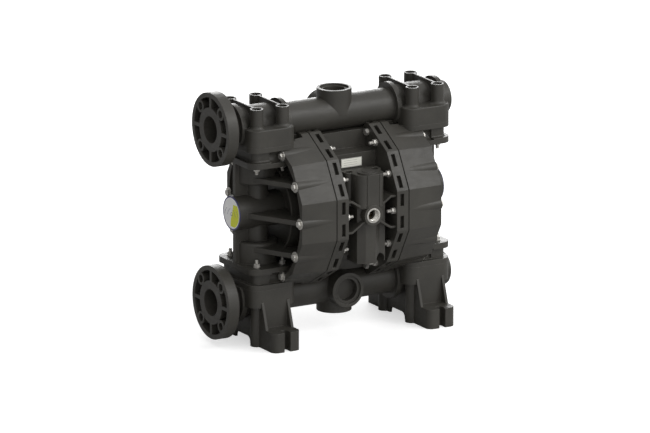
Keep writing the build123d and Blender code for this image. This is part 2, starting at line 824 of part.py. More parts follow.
seal_faces = [s * (bush_face - bush_long - seal_wide) - seal_wide / 2 for s in signs]
with BuildPart() as shaft_seals:
    for start in seal_faces:
        with BuildSketch(along.offset(start)):
            Circle(seal_outer_r)
            Circle(shaft_r + running_fit, mode=Mode.SUBTRACT)
        extrude(amount=seal_wide)
save(shaft_seals.part, "shaft_seals")


# ================================================================ centre body
with BuildPart() as center_body:
    with BuildSketch(along.offset(-air_reach)):
        Rectangle(2 * mid_block_deep, 2 * mid_block_rise)
        Rectangle(2 * air_block_deep, 2 * air_block_rise)
    extrude(amount=2 * air_reach)
    with BuildSketch(forward.offset(air_block_deep)):
        with Locations((0, (base_top - base_bottom) / 2)):
            Rectangle(2 * base_half, base_top + base_bottom)
    extrude(amount=base_front - air_block_deep)
    # room for the level ports, behind the discharge pipe and in front of the suction pipe
    for up in signs:
        with BuildSketch(forward):
            with Locations((0, up * manifold_rise)):
                Circle(port_r + touch_gap)
        extrude(amount=-up * 2 * mid_block_deep, mode=Mode.SUBTRACT)
    with BuildSketch(along.offset(-bush_face)):
        Circle(spigot_r)
    extrude(amount=2 * bush_face)
    # exhaust box and boss at the rear
    with BuildSketch(forward.offset(-exhaust_box_rear)):
        with Locations((0, -exhaust_drop / 2)):
            RectangleRounded(2 * exhaust_box_half, 2 * exhaust_box_half + exhaust_drop, block_edge_r * 4)
    extrude(amount=exhaust_box_rear - air_block_deep)
    with BuildSketch(forward.offset(-inlet_reach)):
        with Locations((0, -exhaust_drop)):
            Circle(exhaust_boss_r)
    extrude(amount=inlet_reach - air_block_deep)
    with BuildSketch(forward.offset(-inlet_reach)):
        with Locations((0, -exhaust_drop)):
            Circle(exhaust_bore_r)
    extrude(amount=exhaust_bore_deep, mode=Mode.SUBTRACT)
    with BuildSketch(forward.offset(-inlet_reach)):
        with Locations((0, -exhaust_drop)):
            Circle(passage_r)
    extrude(amount=inlet_reach + base_front, mode=Mode.SUBTRACT)
    # air passages from the valve to each chamber
    with BuildSketch(forward.offset(0)):
        with Locations((0, chamber_port_rise)):
            Circle(chamber_port_r)
    extrude(amount=base_front, mode=Mode.SUBTRACT)
    with BuildSketch(along.offset(-air_reach)):
        with Locations((0, chamber_port_rise)):
            Circle(chamber_port_r)
    extrude(amount=2 * air_reach, mode=Mode.SUBTRACT)
    # shaft bore, bush seats and seal grooves
    with BuildSketch(along.offset(-bush_face)):
        Circle(shaft_bore_r)
    extrude(amount=2 * bush_face, mode=Mode.SUBTRACT)
    for start in (-bush_face, bush_face - bush_long):
        with BuildSketch(along.offset(start)):
            Circle(bush_r)
        extrude(amount=bush_long, mode=Mode.SUBTRACT)
    for start in seal_faces:
        with BuildSketch(along.offset(start)):
            Circle(seal_outer_r)
        extrude(amount=seal_wide, mode=Mode.SUBTRACT)
    # screw holes for the chambers and the air valve
    screw_grip = body_screw_long - air_wall
    for start in (-air_reach, air_reach - screw_grip):
        with BuildSketch(along.offset(start)):
            with Locations(*[(y, z) for y in (-body_screw_across, body_screw_across)
                             for z in (-body_screw_rise, body_screw_rise)]):
                Circle(bolt_r)
        extrude(amount=screw_grip, mode=Mode.SUBTRACT)
    with BuildSketch(forward.offset(base_front)):
        with Locations(*[(x * housing_screw_across, z * housing_screw_rise) for x in signs for z in signs]):
            Circle(screw_r)
    extrude(amount=-(screw_long - housing_plate_thick - gasket_thick), mode=Mode.SUBTRACT)
save(center_body.part, "center_body")


# ================================================================ air valve
housing_back = base_front + gasket_thick
housing_screw_places = [(x * housing_screw_across, z * housing_screw_rise) for x in signs for z in signs]
with BuildPart() as valve_gasket:
    with BuildSketch(forward.offset(base_front)):
        with Locations((0, (base_top - base_bottom) / 2)):
            Rectangle(2 * base_half, base_top + base_bottom)
        with Locations(*housing_screw_places):
            Circle(screw_hole_r, mode=Mode.SUBTRACT)
        with Locations((0, chamber_port_rise)):
            Circle(chamber_port_r, mode=Mode.SUBTRACT)
        with Locations((0, -exhaust_drop)):
            Circle(passage_r, mode=Mode.SUBTRACT)
    extrude(amount=gasket_thick)
save(valve_gasket.part, "air_valve_gasket")

with BuildPart() as housing:
    with BuildSketch(forward.offset(housing_back)):
        with Locations((0, (base_top - base_bottom) / 2)):
            Rectangle(2 * base_half, base_top + base_bottom)
    extrude(amount=housing_plate_thick)
    # upper body and its screw lugs
    with BuildSketch(level_at(housing_split)):
        with Locations((0, -(housing_back + upper_front) / 2)):
            RectangleRounded(2 * upper_half, upper_front - housing_back, upper_corner_r)
        with Locations(*[(x * lug_across, -lug_deep) for x in signs]):
            Circle(lug_r)
        with Locations((0, -(housing_back + lug_deep) / 2)):
            Rectangle(2 * (lug_across + lug_r), lug_deep - housing_back)
    extrude(amount=housing_top - housing_split)
    with BuildSketch(level_at(housing_split)):
        with Locations(*[(x * flute_place, -upper_front) for x in signs]):
            Rectangle(flute_wide, 2 * flute_deep)
    extrude(amount=housing_top - housing_split, mode=Mode.SUBTRACT)
    # lower body with its three front facets
    with BuildSketch(level_at(-housing_bottom)):
        with BuildLine():
            Polyline(
                (-lower_half, -housing_back),
                (-lower_half, -lower_corner),
                (-lower_flat, -lower_front),
                (lower_flat, -lower_front),
                (lower_half, -lower_corner),
                (lower_half, -housing_back),
                close=True,
            )
        make_face()
        with Locations((notch_across, -(housing_back + lower_corner) / 2)):
            Rectangle(2 * lug_r, lower_corner - housing_back)
    extrude(amount=housing_bottom + housing_split)
    with BuildSketch(forward.offset(upper_front)):
        with Locations((notch_across, -notch_rise)):
            Circle(notch_r)
    extrude(amount=-(upper_front - housing_back - housing_plate_thick), mode=Mode.SUBTRACT)
    # air inlet boss, and the struts that brace it against the chambers
    with BuildSketch(forward.offset(housing_back)):
        Circle(inlet_boss_r)
    extrude(amount=inlet_reach - housing_back)
    for sx in signs:
        for sz in signs:
            root_x, root_z = strut_root
            knee_x, knee_z = strut_knee
            with BuildSketch(forward.offset(housing_back)):
                with BuildLine():
                    Polyline((sx * root_x, sz * root_z), (sx * knee_x, sz * knee_z), (sx * air_reach, sz * knee_z))
                trace(line_width=strut_thick)
            extrude(amount=strut_front - housing_back)
    # inlet way, valve bore, passages and screw holes
    with BuildSketch(forward.offset(inlet_reach - insert_long)):
        Circle(insert_r)
    extrude(amount=insert_long, mode=Mode.SUBTRACT)
    with BuildSketch(forward.offset(spool_deep)):
        Circle(passage_r)
    extrude(amount=inlet_reach - spool_deep, mode=Mode.SUBTRACT)
    with BuildSketch(level_at(-sleeve_half)):
        with Locations((0, -spool_deep)):
            Circle(sleeve_r)
    extrude(amount=housing_top + sleeve_half, mode=Mode.SUBTRACT)
    for rise, radius in ((chamber_port_rise, chamber_port_r), (-exhaust_drop, passage_r)):
        with BuildSketch(forward.offset(housing_back)):
            with Locations((0, rise)):
                Circle(radius)
        extrude(amount=spool_deep - housing_back, mode=Mode.SUBTRACT)
    with BuildSketch(forward.offset(housing_back)):
        with Locations(*housing_screw_places):
            Circle(screw_hole_r)
    extrude(amount=housing_plate_thick, mode=Mode.SUBTRACT)
    with BuildSketch(level_at(housing_top)):
        with Locations(*[(x * lug_across, -lug_deep) for x in signs]):
            Circle(lug_recess_r)
    extrude(amount=-lug_recess_deep, mode=Mode.SUBTRACT)
save(housing.part, "air_valve_housing")

with BuildPart() as inlet_insert:
    with BuildSketch(forward.offset(inlet_reach - insert_long)):
        Circle(insert_r)
        Circle(insert_bore_r, mode=Mode.SUBTRACT)
    extrude(amount=insert_long)
save(inlet_insert.part, "air_inlet_insert")

with BuildPart() as sleeve:
    with BuildSketch(level_at(-sleeve_half)):
        with Locations((0, -spool_deep)):
            Circle(sleeve_r)
            Circle(sleeve_bore_r, mode=Mode.SUBTRACT)
    extrude(amount=2 * sleeve_half)
    for rise in (-exhaust_drop, 0, chamber_port_rise):
        with BuildSketch(forward.offset(spool_deep - sleeve_r)):
            with Locations((0, rise)):
                Circle(sleeve_port_r)
        extrude(amount=2 * sleeve_r, mode=Mode.SUBTRACT)
save(sleeve.part, "air_valve_sleeve")

spool_bottom = -sleeve_half + touch_gap
land_starts = [spool_bottom + k * (2 * spool_half - spool_land) / 3 for k in range(4)]
with BuildPart() as spool:
    with BuildSketch(level_at(spool_bottom)):
        with Locations((0, -spool_deep)):
            Circle(spool_neck_r)
    extrude(amount=2 * spool_half)
    for start in land_starts:
        with BuildSketch(level_at(start)):
            with Locations((0, -spool_deep)):
                Circle(spool_r)
        extrude(amount=spool_land)
    for start in land_starts:
        with BuildSketch(level_at(start + (spool_land - seal_wide) / 2)):
            with Locations((0, -spool_deep)):
                Circle(spool_r)
                Circle(spool_r - seal_wide / 2, mode=Mode.SUBTRACT)
        extrude(amount=seal_wide, mode=Mode.SUBTRACT)
save(spool.part, "air_valve_spool")

with BuildPart() as spool_seals:
    for start in land_starts:
        with BuildSketch(level_at(start + (spool_land - seal_wide) / 2)):
            with Locations((0, -spool_deep)):
                Circle(spool_r)
                Circle(spool_r - seal_wide / 2, mode=Mode.SUBTRACT)
        extrude(amount=seal_wide)
save(spool_seals.part, "spool_seals")

with BuildPart() as valve_cap:
    with BuildSketch(level_at(sleeve_half)):
        with Locations((0, -spool_deep)):
            Circle(sleeve_r - loose_fit)
    extrude(amount=housing_top - sleeve_half)
    with BuildSketch(level_at(housing_top)):
        with Locations((0, -cap_deep)):
            Circle(cap_disc_r - cap_disc_thick)
    extrude(amount=cap_disc_thick)
    with BuildSketch(level_at(housing_top + cap_disc_thick)):
        with Locations((0, -cap_deep)):
            Circle(cap_button_r)
    extrude(amount=cap_button_thick)
save(valve_cap.part, "air_valve_cap")


# ================================================================ ball valves
ball_contact = (ball_r + touch_gap) * sin(radians(45))
cone_foot = seat_tall / 2
ball_rise = cone_foot + ball_contact          # ball's middle above the seat's base
cage_tall = joint_rise - seat_tall - ledge_rise
stop_rise = ball_rise + ball_r + ball_lift + touch_gap - seat_tall

with BuildPart() as seat:
    with BuildSketch(Plane.XZ):
        with BuildLine():
            Polyline(
                (seat_bore_r, 0),
                (seat_bore_r, cone_foot + seat_bore_r - ball_contact),
                (ball_contact + seat_tall - cone_foot, seat_tall),
                (chamber_bore_r - loose_fit, seat_tall),
                (chamber_bore_r - loose_fit, 0),
                close=True,
            )
        make_face()
    revolve(axis=Axis.Z)
    with BuildSketch(Plane.XY):
        Circle(o_ring_mid_r + 2 * o_ring_r)
        Circle(o_ring_mid_r - 2 * o_ring_r, mode=Mode.SUBTRACT)
    extrude(amount=2 * o_ring_r, mode=Mode.SUBTRACT)

with BuildPart() as cage:
    with BuildSketch(Plane.XY):
        Circle(chamber_bore_r - loose_fit)
        Circle(chamber_bore_r - loose_fit - cage_wall, mode=Mode.SUBTRACT)
    extrude(amount=cage_tall)
    rib_mid_r = (chamber_bore_r - loose_fit - cage_wall / 2 + ball_r + cage_play) / 2
    with BuildSketch(Plane.XY):
        with PolarLocations(rib_mid_r, 4, start_angle=45):
            Rectangle(2 * (chamber_bore_r - loose_fit - cage_wall / 2 - rib_mid_r), cage_rib_thick)
    extrude(amount=cage_tall)
    with BuildSketch(Plane.XY.offset(stop_rise)):
        with Locations(Rotation(0, 0, 45)):
            Rectangle(2 * (chamber_bore_r - cage_wall), cage_rib_thick)
            Rectangle(cage_rib_thick, 2 * (chamber_bore_r - cage_wall))
    extrude(amount=cage_tall - stop_rise)

with BuildPart() as ball:
    with Locations((0, 0, ball_rise)):
        Sphere(ball_r)

seat_bases = {"suction": -joint_rise, "discharge": ledge_rise}
for hand, column in (("left", -column_reach), ("right", column_reach)):
    for port, base in seat_bases.items():
        foot = Location((middle_x + column, 0, shaft_height + base))
        cage_foot = Location((middle_x + column, 0, shaft_height + base + seat_tall))
        save(foot * seat.part, f"{hand}_{port}_seat")
        save(cage_foot * cage.part, f"{hand}_{port}_ball_cage")
        save(foot * ball.part, f"{hand}_{port}_ball")

o_ring_places = [(c, b + o_ring_r, o_ring_mid_r) for c in columns for b in seat_bases.values()]
with BuildPart() as seat_o_rings:
    with Locations(*[(middle_x + c, 0, shaft_height + z) for c, z, _ in o_ring_places]):
        Torus(o_ring_mid_r, o_ring_r)
save(seat_o_rings.part, "seat_o_rings")

with BuildPart() as joint_o_rings:
    with Locations(*[(middle_x + c, 0, shaft_height + up * (joint_rise - o_ring_r)) for c in columns for up in signs]):
        Torus(joint_ring_mid_r, o_ring_r)
save(joint_o_rings.part, "joint_o_rings")


# ================================================================ fasteners
nut_face = air_reach - washer_thick
with BuildPart() as left_bolts:
    with BuildSketch(outward.offset(rim_reach + washer_thick)):
        with Locations(*long_bolts):
            RegularPolygon(head_flats / 2, 6, major_radius=False)
    extrude(amount=head_tall)
    with BuildSketch(outward.offset(nut_face - nut_tall - bolt_past_nut)):
        with Locations(*long_bolts):
            Circle(bolt_r)
    extrude(amount=rim_reach + washer_thick - nut_face + nut_tall + bolt_past_nut)
    with BuildSketch(outward.offset(nut_face - head_tall)):
        with Locations(*short_bolts):
            RegularPolygon(head_flats / 2, 6, major_radius=False)
    extrude(amount=head_tall)
    with BuildSketch(outward.offset(nut_face)):
        with Locations(*short_bolts):
            Circle(bolt_r)
    extrude(amount=short_seat + washer_thick + nut_tall + head_tall / 2 - nut_face)
save_pair(left_bolts.part, "casing_bolts")

with BuildPart() as left_washers:
    with BuildSketch(outward.offset(rim_reach)):
        with Locations(*long_bolts):
            Circle(wide_washer_r)
            Circle(hole_r, mode=Mode.SUBTRACT)
    extrude(amount=washer_thick)
    with BuildSketch(outward.offset(nut_face)):
        with Locations(*long_bolts, *short_bolts):
            Circle(washer_r)
            Circle(hole_r, mode=Mode.SUBTRACT)
    extrude(amount=washer_thick)
    with BuildSketch(outward.offset(short_seat)):
        with Locations(*short_bolts):
            Circle(washer_r)
            Circle(hole_r, mode=Mode.SUBTRACT)
    extrude(amount=washer_thick)
save_pair(left_washers.part, "casing_washers")

with BuildPart() as left_nuts:
    for start, places in ((nut_face - nut_tall, long_bolts), (short_seat + washer_thick, short_bolts)):
        with BuildSketch(outward.offset(start)):
            with Locations(*places):
                RegularPolygon(head_flats / 2, 6, major_radius=False)
                Circle(bolt_r, mode=Mode.SUBTRACT)
        extrude(amount=nut_tall)
save_pair(left_nuts.part, "casing_nuts")

manifold_nut_rise = flange_plate_rise - washer_thick - nut_tall
for up, port in ((1, "discharge"), (-1, "suction")):
    with BuildPart() as manifold_bolts:
        with BuildSketch(level_at(up * (joint_rise + bolt_seat_rise))):
            with Locations(*manifold_bolt_places):
                RegularPolygon(head_flats / 2, 6, major_radius=False)
        extrude(amount=up * head_tall)
        with BuildSketch(level_at(up * (manifold_nut_rise - bolt_past_nut + washer_thick))):
            with Locations(*manifold_bolt_places):
                Circle(bolt_r)
        extrude(amount=up * (joint_rise + bolt_seat_rise - manifold_nut_rise + bolt_past_nut - washer_thick))
    save(manifold_bolts.part, f"{port}_manifold_bolts")
    with BuildPart() as manifold_nuts:
        with BuildSketch(level_at(up * manifold_nut_rise)):
            with Locations(*manifold_bolt_places):
                RegularPolygon(head_flats / 2, 6, major_radius=False)
                Circle(bolt_r, mode=Mode.SUBTRACT)
        extrude(amount=up * nut_tall)
    save(manifold_nuts.part, f"{port}_manifold_nuts")

with BuildPart() as manifold_washers:
    for up in signs:
        with BuildSketch(level_at(up * (manifold_nut_rise + nut_tall))):
            with Locations(*manifold_bolt_places):
                Circle(washer_r)
                Circle(hole_r, mode=Mode.SUBTRACT)
        extrude(amount=up * washer_thick)
save(manifold_washers.part, "manifold_washers")

with BuildPart() as left_body_screws:
    with BuildSketch(outward.offset(bush_face)):
        with Locations(*[(x, z) for x in (-body_screw_across, body_screw_across)
                         for z in (-body_screw_rise, body_screw_rise)]):
            Circle(body_screw_head_r)
    extrude(amount=body_screw_head_tall)
    with BuildSketch(outward.offset(bush_face - body_screw_long)):
        with Locations(*[(x, z) for x in (-body_screw_across, body_screw_across)
                         for z in (-body_screw_rise, body_screw_rise)]):
            Circle(bolt_r)
    extrude(amount=body_screw_long)
save_pair(left_body_screws.part, "chamber_screws")

screw_seat = housing_back + housing_plate_thick
with BuildPart() as housing_screws:
    with BuildSketch(forward.offset(screw_seat)):
        with Locations(*housing_screw_places):
            Circle(screw_head_r)
    extrude(amount=screw_head_tall)
    with BuildSketch(forward.offset(screw_seat - screw_long)):
        with Locations(*housing_screw_places):
            Circle(screw_r)
    extrude(amount=screw_long)
save(housing_screws.part, "air_valve_screws")


# ================================================================ badges and plate
with BuildPart() as left_badge:
    with BuildSketch(outward.offset(hub_reach)):
        Circle(badge_r)
    extrude(amount=badge_thick)
save_pair(left_badge.part, "hub_badge")

with BuildPart() as rating_plate:
    with BuildSketch(forward.offset(air_block_deep)):
        with Locations((0, plate_mid_rise)):
            Rectangle(plate_long, plate_tall)
    extrude(amount=plate_metal)
save(rating_plate.part, "rating_plate")
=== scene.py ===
# %% [markdown]
# # An air operated diaphragm pump
# The pump arrives as a finished set of solids: two manifolds, two dished fluid casings, a centre
# body with its air valve, and some two hundred bolts, nuts and washers. This lesson gives those
# solids their finish, and makes the small things that catch the eye again with more detail:
# hexagon heads, screw threads, the badge and the rating label.
#
# All lengths are in metres, and every piece is made where it sits on the pump, because the solids
# already share one frame: X runs along the manifolds, -Y is the front and Z is up.

# %% Load the solids
import json
import math

import bmesh
import bpy
from mathutils import Matrix, Vector


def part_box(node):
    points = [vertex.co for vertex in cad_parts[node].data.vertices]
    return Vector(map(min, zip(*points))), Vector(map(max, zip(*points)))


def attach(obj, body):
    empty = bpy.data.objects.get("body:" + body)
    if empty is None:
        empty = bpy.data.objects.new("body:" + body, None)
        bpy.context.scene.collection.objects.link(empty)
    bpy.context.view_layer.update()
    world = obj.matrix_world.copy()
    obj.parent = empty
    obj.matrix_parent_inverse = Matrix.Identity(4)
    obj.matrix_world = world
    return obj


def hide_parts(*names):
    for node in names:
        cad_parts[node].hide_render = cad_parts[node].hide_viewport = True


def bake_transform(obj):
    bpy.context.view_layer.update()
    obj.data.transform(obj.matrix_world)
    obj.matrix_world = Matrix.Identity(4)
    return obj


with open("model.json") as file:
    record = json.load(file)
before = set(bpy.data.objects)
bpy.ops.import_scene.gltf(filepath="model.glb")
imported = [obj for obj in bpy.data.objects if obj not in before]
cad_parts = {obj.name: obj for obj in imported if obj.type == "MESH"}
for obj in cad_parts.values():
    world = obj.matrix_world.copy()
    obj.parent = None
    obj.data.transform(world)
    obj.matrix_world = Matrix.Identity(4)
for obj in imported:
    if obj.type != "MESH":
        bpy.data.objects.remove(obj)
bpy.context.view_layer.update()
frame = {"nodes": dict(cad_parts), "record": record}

# %% [markdown]
# ## The camera
# The pump is seen from a little above and from its front left corner, through a very long lens,
# so that its parallel edges stay parallel. The lens stands on a line through the shaft's middle.

# %% Camera
VIEW_TURN = math.radians(30)
VIEW_RISE = math.radians(15)
LENS_MM = 600.0
VIEW_WIDTH = 1.4358
SHAFT_MIDDLE = Vector((0.01555, 0.0, 0.292))
VIEW_RIGHT = -0.0198
VIEW_UP = -0.0409
SENSOR_MM = 36.0

to_camera = Vector((-math.sin(VIEW_TURN) * math.cos(VIEW_RISE),
                    -math.cos(VIEW_TURN) * math.cos(VIEW_RISE),
                    math.sin(VIEW_RISE)))
view_right = Vector((math.cos(VIEW_TURN), -math.sin(VIEW_TURN), 0.0))
view_up = to_camera.cross(view_right)
camera_data = bpy.data.cameras.new("camera")
camera_data.sensor_width = SENSOR_MM
camera_data.lens = LENS_MM
camera_data.clip_end = 100.0
camera = bpy.data.objects.new("camera", camera_data)
distance = VIEW_WIDTH * LENS_MM / SENSOR_MM
camera.location = SHAFT_MIDDLE + view_right * VIEW_RIGHT + view_up * VIEW_UP + to_camera * distance
camera.rotation_mode = "QUATERNION"
camera.rotation_quaternion = to_camera.to_track_quat("Z", "Y")
bpy.context.scene.collection.objects.link(camera)
bpy.context.scene.camera = camera
bpy.context.scene.view_settings.view_transform = "Standard"
print("camera", round(distance, 2), "m away")

# %% [markdown]
# ## Material helpers
# A shader is a small graph of nodes. These helpers add a node, set its values and join its inputs
# in one line, so that each finish below reads as a list of what it is made of. Every pattern reads
# Object coordinates: a piece sits at the origin, so they are its real place in metres.

# %% Node helpers
def new_finish(name):
    """A material with an empty graph, its Principled shader and its object coordinates."""
    finish = bpy.data.materials.new(name)
    finish.use_nodes = True
    graph = finish.node_tree
    graph.nodes.clear()
    output = graph.nodes.new("ShaderNodeOutputMaterial")
    shader = graph.nodes.new("ShaderNodeBsdfPrincipled")
    graph.links.new(shader.outputs["BSDF"], output.inputs["Surface"])
    place = graph.nodes.new("ShaderNodeTexCoord").outputs["Object"]
    return finish, graph, shader, place


def add_node(graph, kind, values=None, **settings):
    """One node; values fills its inputs with numbers or joins them to another node's output."""
    node = graph.nodes.new(kind)
    for key, value in settings.items():
        setattr(node, key, value)
    for key, value in (values or {}).items():
        if isinstance(value, bpy.types.NodeSocket):
            graph.links.new(value, node.inputs[key])
        else:
            node.inputs[key].default_value = value
    return node


def noise(graph, place, scale, detail=4.0, roughness=0.55):
    """Grey cloud noise from 0 to 1; scale counts blotches per metre."""
    values = {"Vector": place, "Scale": scale, "Detail": detail, "Roughness": roughness}
    return add_node(graph, "ShaderNodeTexNoise", values).outputs["Fac"]


def spread(graph, value, low, high, from_low=0.0, from_high=1.0):
    """Stretches a value from one range to another."""
    values = {"Value": value, "From Min": from_low, "From Max": from_high, "To Min": low, "To Max": high}
    return add_node(graph, "ShaderNodeMapRange", values).outputs["Result"]


def mix_colours(graph, share, first, second):
    """A blend of two colours; share 0 is the first."""
    node = add_node(graph, "ShaderNodeMix", data_type="RGBA")
    for socket, value in ((node.inputs[0], share), (node.inputs[6], first), (node.inputs[7], second)):
        if isinstance(value, bpy.types.NodeSocket):
            graph.links.new(value, socket)
        else:
            socket.default_value = value
    return node.outputs[2]


def maths(graph, operation, first, second=0.0):
    """One sum on two values."""
    return add_node(graph, "ShaderNodeMath", {0: first, 1: second}, operation=operation).outputs[0]


def paint(red, green, blue):
    """A display colour, 0 to 255, as the linear colour that a shader takes."""
    linear = []
    for part in (red, green, blue):
        share = part / 255.0
        linear.append(share / 12.92 if share <= 0.04045 else ((share + 0.055) / 1.055) ** 2.4)
    return (*linear, 1.0)


def shade(colour, share, more=0.0):
    """A colour made darker or paler by a share, and then lifted by a little more."""
    return [min(1.0, part * share + more) for part in colour[:3]] + [1.0]


def edge_mask(graph, radius):
    """1 near a sharp edge and 0 on a flat, and the normal rounded over that edge."""
    rounded = add_node(graph, "ShaderNodeBevel", {"Radius": radius}, samples=6).outputs["Normal"]
    flat = add_node(graph, "ShaderNodeNewGeometry").outputs["Normal"]
    likeness = add_node(graph, "ShaderNodeVectorMath", {0: rounded, 1: flat}, operation="DOT_PRODUCT")
    return spread(graph, likeness.outputs["Value"], 1.0, 0.0, 0.90, 0.995), rounded


def bump(graph, height, distance, strength, normal=None):
    """A normal pushed about by a height."""
    values = {"Height": height, "Distance": distance, "Strength": strength}
    if normal is not None:
        values["Normal"] = normal
    return add_node(graph, "ShaderNodeBump", values).outputs["Normal"]


# %% [markdown]
# ## Moulded plastic
# The castings are glass filled plastic, black-brown with a soft sheen. Close up the surface has a
# fine grain from the mould, faint cloudy flow marks where the glass lies unevenly, and paler worn
# edges. The Bevel node rounds the normal at each edge by a millimetre or two, as a mould does.

# %% Moulded plastic
def moulded_plastic(name, colour, edge_radius=0.0016, sheen_low=0.40, sheen_high=0.52, joined_at=None):
    """joined_at is a height where two solids of one moulding meet, so no edge shows there."""
    finish, graph, shader, place = new_finish(name)
    clouds = noise(graph, place, 14.0, 3.0)
    flow_place = add_node(graph, "ShaderNodeMapping", {"Vector": place, "Scale": (1.0, 1.0, 3.5)}).outputs[0]
    flow = noise(graph, flow_place, 55.0, 5.0, 0.6)
    grain = noise(graph, place, 2600.0, 2.0, 0.5)
    pits = noise(graph, place, 620.0, 3.0, 0.6)
    edges, rounded = edge_mask(graph, edge_radius)
    if joined_at is not None:
        height = add_node(graph, "ShaderNodeSeparateXYZ", {"Vector": place}).outputs["Z"]
        apart = maths(graph, "ABSOLUTE", maths(graph, "SUBTRACT", height, joined_at))
        clear = spread(graph, apart, 0.0, 1.0, edge_radius * 1.3, edge_radius * 1.9)
        flat = add_node(graph, "ShaderNodeNewGeometry").outputs["Normal"]
        mixed = add_node(graph, "ShaderNodeMix", data_type="VECTOR")
        graph.links.new(clear, mixed.inputs[0])
        graph.links.new(flat, mixed.inputs[4])
        graph.links.new(rounded, mixed.inputs[5])
        rounded = mixed.outputs[1]
        edges = maths(graph, "MULTIPLY", edges, clear)
    dark, pale, worn = shade(colour, 0.86), shade(colour, 1.16), shade(colour, 1.9, 0.01)
    body = mix_colours(graph, spread(graph, clouds, 0.0, 1.0, 0.35, 0.68), dark, pale)
    speckle = mix_colours(graph, spread(graph, grain, 0.0, 0.35, 0.62, 0.75), body, worn)
    chafe = maths(graph, "MULTIPLY", edges, spread(graph, flow, 0.15, 0.75, 0.40, 0.66))
    graph.links.new(mix_colours(graph, chafe, speckle, worn), shader.inputs["Base Color"])
    sheen = spread(graph, flow, sheen_low, sheen_high, 0.3, 0.7)
    graph.links.new(sheen, shader.inputs["Roughness"])
    shader.inputs["Specular IOR Level"].default_value = 0.45
    coarse = bump(graph, pits, 0.00018, 0.35, rounded)
    graph.links.new(bump(graph, grain, 0.00007, 0.5, coarse), shader.inputs["Normal"])
    print("finish", name)
    return finish


JOINT_UNDER_BLOCK = 0.091
casting = moulded_plastic("moulded_casting", paint(60, 58, 53))
foot_casting = moulded_plastic("moulded_foot", paint(60, 58, 53), joined_at=JOINT_UNDER_BLOCK)
cage_finish = moulded_plastic("moulded_cage", paint(54, 53, 50))
cap_finish = moulded_plastic("moulded_cap", paint(64, 62, 58), 0.0008)


# %% [markdown]
# ## Metals
# The fasteners are plain stainless steel, a little scratched and with a dull film from handling.
# The air inlet's insert is turned from a paler metal, so its tool marks run in rings round its
# axis. A Wave texture in rings gives those marks, and a noise breaks up the shine.

# %% Stainless and turned metal
def steel(name, colour, low=0.42, high=0.60, scratch=900.0):
    """Plain steel with a dull film and fine scratches."""
    finish, graph, shader, place = new_finish(name)
    film = noise(graph, place, 160.0, 5.0, 0.6)
    marks_place = add_node(graph, "ShaderNodeMapping", {"Vector": place, "Scale": (1.0, 1.0, 7.0)}).outputs[0]
    marks = noise(graph, marks_place, scratch, 3.0, 0.7)
    edges, rounded = edge_mask(graph, 0.0004)
    body = mix_colours(graph, spread(graph, film, 0.0, 1.0, 0.35, 0.65), shade(colour, 0.78), colour)
    rubbed = mix_colours(graph, maths(graph, "MULTIPLY", edges, 0.4), body, (0.9, 0.9, 0.88, 1.0))
    graph.links.new(rubbed, shader.inputs["Base Color"])
    shader.inputs["Metallic"].default_value = 0.85
    graph.links.new(spread(graph, marks, low, high, 0.3, 0.7), shader.inputs["Roughness"])
    graph.links.new(bump(graph, marks, 0.00004, 0.5, rounded), shader.inputs["Normal"])
    print("finish", name)
    return finish


def turned_metal(name, colour, axis, middle, metallic=1.0, low=0.18, high=0.34, rings=1500.0):
    """Metal or plastic turned on a lathe about an axis, X, Y or Z, through a point."""
    finish, graph, shader, place = new_finish(name)
    shift = {"Vector": place, "Location": [-c for c in middle]}
    centred = add_node(graph, "ShaderNodeMapping", shift).outputs[0]
    values = {"Vector": centred, "Scale": rings, "Distortion": 1.5, "Detail": 2.0}
    wave = add_node(graph, "ShaderNodeTexWave", values, wave_type="RINGS", rings_direction=axis)
    lathe = wave.outputs["Fac"]
    film = noise(graph, place, 220.0, 4.0)
    body = mix_colours(graph, spread(graph, film, 0.0, 1.0, 0.35, 0.65), shade(colour, 0.82), colour)
    graph.links.new(body, shader.inputs["Base Color"])
    shader.inputs["Metallic"].default_value = metallic
    graph.links.new(spread(graph, lathe, low, high), shader.inputs["Roughness"])
    edges, rounded = edge_mask(graph, 0.0005)
    graph.links.new(bump(graph, lathe, 0.00003, 0.6, rounded), shader.inputs["Normal"])
    print("finish", name)
    return finish


stainless = steel("stainless_fastener", (0.66, 0.64, 0.60, 1.0))
insert_low, insert_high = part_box("air_inlet_insert")
insert_middle = (insert_low + insert_high) / 2
pale_turned = turned_metal("turned_pale_metal", (0.74, 0.72, 0.67, 1.0), "Y", insert_middle)
shaft_finish = turned_metal("ground_shaft", (0.62, 0.61, 0.60, 1.0), "X", SHAFT_MIDDLE, low=0.12, high=0.22)
sleeve_low, sleeve_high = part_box("air_valve_sleeve")
valve_middle = (sleeve_low + sleeve_high) / 2
# The brass sleeve, seen down the air inlet's bore, is painted nearly black: painted shade for the shadow
# inside the bore.
shade_darkened_brass = turned_metal("brass_darkened_for_bore_shade", (0.11, 0.085, 0.05, 1.0), "Z", valve_middle, low=0.35, high=0.5)
spool_finish = turned_metal("turned_spool", (0.60, 0.59, 0.56, 1.0), "Z", valve_middle)


# %% [markdown]
# ## Rubber and white plastics
# Diaphragms and rings are black rubber: dull, faintly dusty, with a fine pebbled skin. Balls and
# valve seats are pale moulded or turned plastic, smoother, with a little light passing through.

